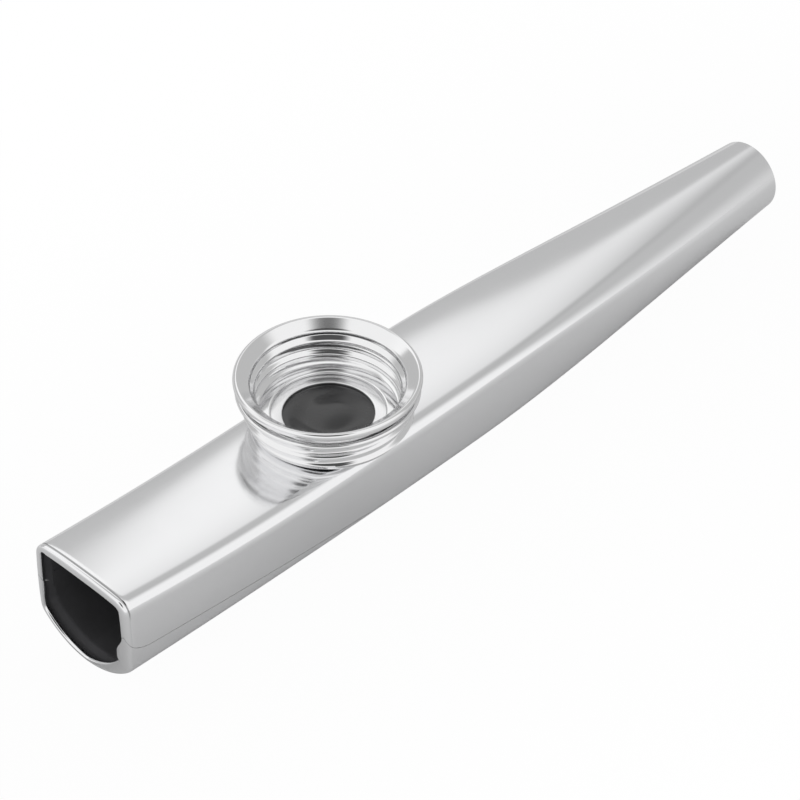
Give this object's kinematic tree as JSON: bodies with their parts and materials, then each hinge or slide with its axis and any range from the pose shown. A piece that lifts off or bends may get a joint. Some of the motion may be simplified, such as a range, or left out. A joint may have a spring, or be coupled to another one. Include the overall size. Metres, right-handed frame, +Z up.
{
  "type": "kazoo",
  "caption": "Metal kazoo: tapered hollow body of lapped shells, with a screw cap in a threaded collar that clamps the buzzing membrane.",
  "frame": {"origin": "under the middle of the body's length, on the plane that it rests on", "axes": "+X from the mouth end to the round exit, +Y across the body, +Z up along the turret's axis"},
  "size_m": [0.12, 0.023, 0.0202],
  "materials": {
    "shell": "satin",
    "turret": "polished",
    "ring": "polished",
    "film": "gloss"
  },
  "bodies": {
    "body": {"upper_shell": "shell", "lower_shell": "shell", "collar": "turret"},
    "membrane": {"membrane_film": "film", "membrane_ring": "ring"},
    "cap": {"screw_cap": "turret"}
  },
  "joints": [
    {"name": "membrane_lift", "type": "slide", "parent": "body", "child": "membrane", "axis": [0, 0, 1], "range_m": [0, 0.0032]},
    {"name": "cap_turn", "type": "hinge", "parent": "membrane", "child": "cap", "pos_m": [-0.02, 0, 0.013], "axis": [0, 0, 1], "range_deg": [0, 720]}
  ],
  "couplings": [
    {"joint": "membrane_lift", "follows": "cap_turn", "m_per_rad": 0.00025465}
  ]
}
